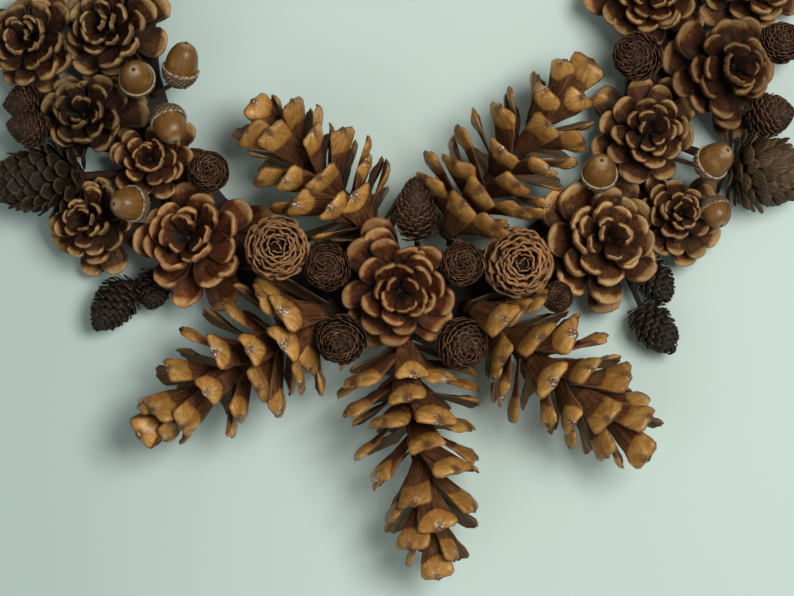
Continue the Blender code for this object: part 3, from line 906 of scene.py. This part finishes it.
def fitted_places(piece, kept, chance):
    """The scales of an opened cone, each as long as the room kept by the other pieces lets it be."""
    others = [room for name, room in kept.items() if name != piece.name]
    places = []
    own = []
    for axes, height, turn, lift, reach, width in open_places(piece, chance):
        for share, extra, aside in FITS:
            local = Matrix.Translation((0, 0, height)) @ Matrix.Rotation(turn + math.radians(aside), 4, "Z")
            local @= Matrix.Rotation(-math.radians(min(lift + extra, MOST_OPEN_LIFT)), 4, "Y")
            matrix = axes @ local
            short, narrow = reach * share, width * blend(1, share, .4)
            points, faces = proxy(KINDS[piece.kind].blade, short, narrow)
            points = [matrix @ p for p in points]
            low, high = box_of(points)
            if low.z < FLOOR_GAP:
                continue
            tree = BVHTree.FromPolygons(points, faces)
            if not any(room.meets(tree, low, high) for room in others):
                places.append((matrix, short, narrow))
                own.append((points, faces))
                break
    for shape in own:
        kept[piece.name].add(shape)
    return places


# The wreath's pieces: base, tip and radius in millimetres from the ring's centre, first turn in radians,
# tone from red (0) to pale brown (1), and how much painted shade it gets for lying deep in the wreath (0 to
# 1)
Piece = namedtuple("Piece", "name kind base tip radius turn tone dark", defaults=(0.0, 0.0, 0.0))


def pieces_of(kind, *rows):
    return [Piece(name, kind, *rest) for name, *rest in rows]


# Open cones and star cones grow in this order, each in the room that the ones before it leave
PIECES = pieces_of(
    "open",
    ("centre_cone", (2.5, -132, 46), (2.5, -138.5, 84), 29, .3, 0.0, .4),
    ("cone_left_front", (-99, -112, 13), (-109, -105, 54), 31, 1.1, .06, .05),
    ("cone_right_front", (101, -111.5, 13), (113, -106, 55), 33, 2.0, .5, .05)
) + pieces_of(
    "star",
    ("star_bottom", (4, -157, 43), (21.5, -277, 36), 41, .1),
    ("star_low_left", (-30, -142, 43), (-126, -204, 36), 41, -.25),
    ("star_low_right", (36, -142, 43), (126, -213, 36), 41, .3),
    ("star_up_left", (-5, -112, 43), (-67, -47, 36), 39, .2),
    ("star_up_right", (25, -108, 43), (96, -24, 36), 39, -.15)
) + pieces_of(
    "open",
    ("cone_left_inner", (-122.5, -70, 13), (-126, -67, 48), 22, .7, .35, .3),
    ("cone_left_middle", (-154.5, -49.5, 12), (-159.5, -43.5, 50), 27, 1.5, .7, 1.0),
    ("cone_left_upper", (-141, -5, 12), (-153.5, 0, 50), 27, 2.3, .75, .45),
    ("cone_left_edge", (-183, -10, 14), (-191, -7, 44), 24, 3.0, .6, .55),
    ("cone_left_outer", (-150, -100, 12), (-161, -98, 46), 24, 3.6, .6, .4),
    ("cone_right_inner", (126.5, -55, 12), (130, -54, 51), 27, 4.4, .5, .55),
    ("cone_right_middle", (165, -23.5, 13), (176, -21, 53), 30, 5.2, .3, 1.0),
    ("cone_right_upper", (130, 14, 12), (128, 18, 50), 27, 5.9, .4, .5),
    ("cone_right_edge", (181, 21, 12), (188, 25, 44), 25, .2, .45, .55),
    ("cone_right_outer", (142, -97, 12), (146, -94, 45), 22, 1.0, .5, .3)
)
SMALL_PIECES = pieces_of(
    "rose",
    ("rose_left", (-59, -113.5, 44), (-58, -113.5, 64), 15.5, .4),
    ("rose_right", (60, -121, 44), (63, -121, 65), 17, 1.9)
) + pieces_of(
    "dark",
    ("dark_left_high", (-31, -123.5, 46), (-37, -123, 66), 11.5, .1),
    ("dark_left_low", (-24, -156, 49), (-31, -163, 67), 12.5, 1.2),
    ("dark_right_low", (30.5, -158, 49), (37, -166, 68), 13, 2.1),
    ("dark_right_high", (33, -121.5, 50), (33.5, -121.5, 68), 10.8, 3.2),
    ("dark_top", (11, -110.5, 56), (9.5, -80, 61), 10.5, 4.0),
    ("dark_right_tiny", (81, -137, 34), (82, -139, 50), 8, 4.7),
    ("dark_left_side", (-94.5, -75.5, 24), (-93.5, -74, 44), 10.5, 5.5),
    ("dark_right_side", (127, -18, 20), (116, -14.5, 44), 12.5, .8),
    ("dark_edge_left_high", (-180, -38, 14), (-198, -40, 14), 10, 2.7),
    ("dark_edge_left_low", (-175, -54.5, 29), (-195, -51, 30), 9.5, 3.6),
    ("dark_edge_right_high", (192, -12, 14), (200, -5, 34), 10.5, 1.8),
    ("dark_edge_right_low", (180, -47, 18), (201, -44, 24), 11.5, 4.4)
) + pieces_of(
    "long",
    ("long_dark_left", (-156, -77, 27), (-203.5, -80, 21), 17, 1.4, 0.0, .8),
    ("long_dark_right", (168, -71, 22), (206.3, -77, 21), 18, 2.2, 1.0)
) + pieces_of(
    "acorn",
    ("acorn_left_face", (-129.5, -30.5, 26), (-130.5, -24.5, 48), 9.5),
    ("acorn_left_up", (-110, -31, 30), (-104.5, -11, 43), 9.5),
    ("acorn_left_down", (-116, -43, 33), (-110, -60, 44), 9.5),
    ("acorn_left_outer", (-127, -91, 34), (-140, -91.7, 50), 9.5),
    ("acorn_right_outer", (154.5, -74, 37), (165.5, -65, 54), 9.5),
    ("acorn_right_inner", (102, -80, 34), (103, -70, 52), 9.5),
    ("acorn_right_low", (160, -89, 26), (164.5, -102, 34), 8.5)
)
# Where a stalk stands that can't go straight down
FEET = {"seeds_left": (-113, -104, 6), "seeds_right": (109, -107, 6), "dark_edge_left_low": (-139, -65, 6),
        "long_dark_left": (-134, -74.5, 6)}
CLUSTERS = pieces_of(
    "seeds",
    ("seeds_left", (-117.5, -120, 12), (-152, -153, 14), 11.5, .5),
    ("seeds_right", (113.5, -117, 12), (141, -165, 14), 11, 1.5)
)
SEED_CONES = {
    "seeds_left": [((-134, -130, 14), (-152, -153, 14), 11.5), ((-121, -124, 14), (-125, -143, 13), 9.5)],
    "seeds_right": [((124, -142, 14), (141, -165, 14), 11), ((126, -120, 14), (139, -139, 14), 10)],
}
# Places along the upper half of the ring, in degrees
UPPER_INNER_ANGLES = (28, 54, 80, 106, 132, 158)
UPPER_OUTER_ROW = ((25, "open"), (47, "open"), (71, "long"), (93, "open"), (123, "long"), (153, "open"))
UPPER_BETWEEN_ROW = ((59, "acorn"), (108, "dark"), (138, "acorn"), (168, "dark"))


def on_ring(angle, radius, height):
    turn = math.radians(angle)
    return (radius * math.cos(turn), radius * math.sin(turn), height)


def upper_pieces():
    """The ring's upper half, which holds more of the same pieces in two rows."""
    large, small = [], []
    for number, angle in enumerate(UPPER_INNER_ANGLES, 1):
        large.append(Piece(f"cone_upper_inner_{number}", "open", on_ring(angle, 145, 13),
                           on_ring(angle + 1, 142, 57), 33, number * .9, .15 * number, .1 * number))
    for number, (angle, kind) in enumerate(UPPER_OUTER_ROW, 1):
        if kind == "open":
            large.append(Piece(f"cone_upper_outer_{number}", kind, on_ring(angle, 175, 13),
                               on_ring(angle, 185, 50), 27, number * 1.3, .8 - .1 * number, .4))
        else:
            small.append(Piece(f"long_dark_upper_{number}", kind, on_ring(angle - 5, 172, 24),
                               on_ring(angle + 9, 186, 24), 16, number * .7))
    for number, (angle, kind) in enumerate(UPPER_BETWEEN_ROW, 1):
        length, radius = {"acorn": (22, 9.5), "dark": (24, 12)}[kind]
        small.append(Piece(f"{kind}_upper_{number}", kind, on_ring(angle, 180, 30),
                           on_ring(angle, 186, 30 + length), radius, number * 1.1))
    return large, small


def seed_heads(piece):
    """Base, tip and radius of the two seed cones on a twig."""
    return [(point(base), point(tip), radius * MM) for base, tip, radius in SEED_CONES[piece.name]]


def core_shapes(piece):
    """The parts of a piece that never give way: its core or closed body, and its stalk."""
    base, tip, radius = axis_of(piece)
    kind = KINDS[piece.kind]
    stem = kind.stalk * MM
    foot = foot_of(piece)
    if piece.kind == "seeds":
        corners = [foot, foot + raised(.004), base]
        shapes = []
        for start, end, thickness in seed_heads(piece):
            path = curved(corners + [start + (end - start) * .15], 18)
            radii = [stem * blend(1.1, .8, k / (len(path) - 1)) for k in range(len(path))]
            shapes.append(tube(path, radii))
            shapes.append(egg(start, end, thickness, kind.rule.body))
            corners = corners[-1:]
        return shapes
    axes, length = axis_frame(base, tip)
    if piece.kind in OPENED:
        profile = [(r * radius, h * length) for r, h in kind.rule.core]
        body = lathe(axes, profile, 16, .12)[:2]
    elif piece.kind == "acorn":
        body = egg(base, tip, radius, 1.0, 12)
    else:
        body = egg(base, tip, radius, kind.rule.body)
    return [body, stalk(axes @ raised(.005), foot, stem)]


def claim(piece):
    """The room that a piece keeps for itself, whatever its neighbours do."""
    if piece.kind in OPENED:
        return core_shapes(piece)
    if piece.kind == "seeds":
        return core_shapes(piece)[::2] + [egg(*head, 1.0, 10) for head in seed_heads(piece)]
    return [egg(*axis_of(piece), 1.0, 12), core_shapes(piece)[1]]


# Acorns

# Outlines as (share of the radius, share of the length)
NUT_PROFILE = [(0, .1), (.6, .14), (.8, .24), (.86, .36), (.87, .48), (.85, .6), (.78, .72), (.67, .82),
               (.53, .9), (.36, .955), (.2, .988), (.1, .998), (.075, 1.018), (.045, 1.033), (0, 1.037)]
CUP_PROFILE = [(0, 0.0), (.34, .01), (.62, .06), (.84, .16), (.96, .28), (.985, .38), (.95, .415), (.89, .4),
               (.86, .33), (.7, .2), (0, .14)]
CUP_SCALES = 170
# Rows of the cup's outline that its scales cover, up to the lip
SCALY_ROWS = 4.999


def acorn(piece, number, chance):
    """A nut, and its scaly cup with a bit of stalk."""
    base, tip, radius = axis_of(piece)
    axes, length = axis_frame(base, tip)
    points, faces, uvs = lathe(axes, fine_profile(NUT_PROFILE, radius, length), 40, .025)
    nut = mesh_object(piece.name + "_nut", points, faces, MATERIALS["acorn_nut"], uvs)
    shell = lathe(axes, fine_profile(CUP_PROFILE, radius, length), 32, .03)[:2]
    start = axes @ raised(.002)
    body = combined([shell, stalk(start, foot_of(piece), KINDS["acorn"].stalk * MM)])
    places = []
    for scale in range(CUP_SCALES):
        row = ((scale + .5) / CUP_SCALES) ** .62 * SCALY_ROWS
        low, high = CUP_PROFILE[int(row)], CUP_PROFILE[int(row) + 1]
        away = blend(low[0], high[0], row % 1) * radius
        height = blend(low[1], high[1], row % 1) * length
        slope = math.degrees(math.atan2((high[1] - low[1]) * length, (high[0] - low[0]) * radius))
        local = Matrix.Rotation(scale * GOLDEN_ANGLE, 4, "Z")
        local @= Matrix.Translation((.97 * away, 0, height))
        local @= Matrix.Rotation(-math.radians(slope - 14), 4, "Y")
        places.append((axes @ local, .17 * radius * chance.uniform(.8, 1.2), .19 * radius))
    body_object = mesh_object(piece.name + "_body", *body, MATERIALS["acorn_cup"], link=False)
    lip = body_object.data.attributes.new("lip", "FLOAT", "POINT")
    for index, place in enumerate(shell[0]):
        lip.data[index].value = smooth(.36, .39, (axes.inverted() @ place).z / length)
    return nut, scattered(piece.name + "_cup", piece, places, body_object, number)


def fine_profile(profile, radius, length):
    """A turned outline at its real size, with two more points between each pair, on a smooth curve."""
    corners = [Vector((r, h, 0)) for r, h in profile]
    path = curved(corners, 3 * (len(corners) - 1))
    return [(max(p.x, 0.0) * radius, p.y * length) for p in path]


# Building the wreath

def show(made, node, slot):
    """Puts a finished piece in the model in place of its plain solid."""
    for polygon in made.data.polygons:
        polygon.use_smooth = True
    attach(made, "root")
    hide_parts(node)


# Scales on the second seed cone of a twig, as a share of those on the first
SECOND_CONE_SHARE = .75


def build_wreath():
    """Grows every piece in place of its plain solid. Only opened cones give way to the other pieces."""
    large, small = upper_pieces()
    pieces = PIECES + large + SMALL_PIECES + small + CLUSTERS
    kept = {piece.name: Kept(claim(piece)) for piece in pieces}
    for number, piece in enumerate(pieces):
        chance = random.Random(number)
        if piece.kind == "acorn":
            nut, cup = acorn(piece, number, chance)
            show(nut, piece.name, "acorn_nut")
            show(cup, piece.name, "acorn_cup")
            continue
        kind = KINDS[piece.kind]
        if piece.kind in OPENED:
            places = fitted_places(piece, kept, chance)
        else:
            heads = seed_heads(piece) if piece.kind == "seeds" else [axis_of(piece)]
            places = []
            for index, head in enumerate(heads):
                count = int(kind.rule.count * (SECOND_CONE_SHARE if index else 1))
                places += closed_places(*head, count, kind.rule, piece.turn, chance)
        body = mesh_object(piece.name + "_body", *combined(core_shapes(piece)), MATERIALS["twig"], link=False)
        show(scattered(piece.name + "_cone", piece, places, body, number), piece.name, kind.slot)
    for slot in frame["nodes"]["base_ring"].material_slots:
        slot.material = MATERIALS["ring_board"]


def build_surroundings():
    """Pale floor, soft light and the camera above."""
    middle = RING_CENTRE + VIEW_MIDDLE
    corners = [Vector((x * FLOOR_HALF_WIDTH, y * FLOOR_HALF_WIDTH, FLOOR_LEVEL)) + middle
               for x, y in ((-1, -1), (1, -1), (1, 1), (-1, 1))]
    floor = mesh_object("floor", corners, [(0, 1, 2, 3)], MATERIALS["floor"])
    for name, place, size, power, colour in LAMPS:
        light = bpy.data.lights.new(name, "AREA")
        light.size = size
        light.energy = power
        light.color = colour
        lamp = placed_object(name, light)
        lamp.location = middle + Vector(place)
        lamp.rotation_euler = (middle - lamp.location).to_track_quat("-Z", "Y").to_euler()
    world = bpy.data.worlds.new("soft_room")
    world.use_nodes = True
    background = world.node_tree.nodes["Background"]
    background.inputs["Color"].default_value = ROOM_COLOUR
    background.inputs["Strength"].default_value = ROOM_STRENGTH
    bpy.context.scene.world = world
    camera_data = bpy.data.cameras.new("camera_above")
    camera_data.sensor_width = SENSOR_WIDTH
    camera_data.lens = SENSOR_WIDTH * CAMERA_DISTANCE / VIEW_WIDTH
    camera_data.clip_start = .05
    camera = placed_object("camera_above", camera_data)
    camera.location = middle + raised(VIEW_HEIGHT + CAMERA_DISTANCE)
    bpy.context.scene.camera = camera
    bpy.context.scene.view_settings.view_transform = "Standard"


build_wreath()
build_surroundings()
for collection in SCALES.values():
    for blade_object in list(collection.objects):
        bpy.data.objects.remove(blade_object)
    bpy.data.collections.remove(collection)
